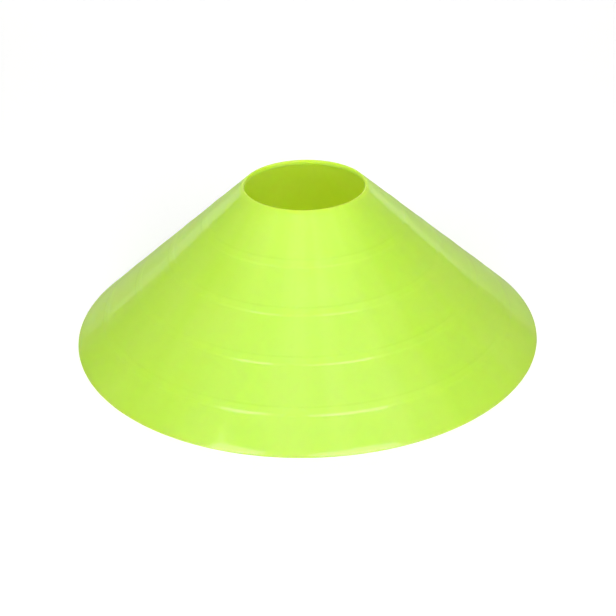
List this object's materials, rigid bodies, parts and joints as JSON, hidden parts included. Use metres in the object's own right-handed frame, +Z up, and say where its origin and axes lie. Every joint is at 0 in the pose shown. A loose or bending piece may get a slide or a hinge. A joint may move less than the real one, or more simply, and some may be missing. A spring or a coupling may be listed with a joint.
{
  "type": "sports marker cone",
  "caption": "Low saucer-shaped sports marker cone: a thin moulded plastic shell with low raised rings, open underneath, with a round hole at the top for a pole or carrier.",
  "frame": {"origin": "centre of the base circle, on the ground that the cone stands on", "axes": "+Z up along the cone's axis; X and Y are any two directions on the ground, because the cone is round"},
  "size_m": [0.19, 0.19, 0.065],
  "materials": {
    "shell": "gloss"
  },
  "bodies": {
    "root": {"cone_shell": "shell"}
  },
  "joints": []
}
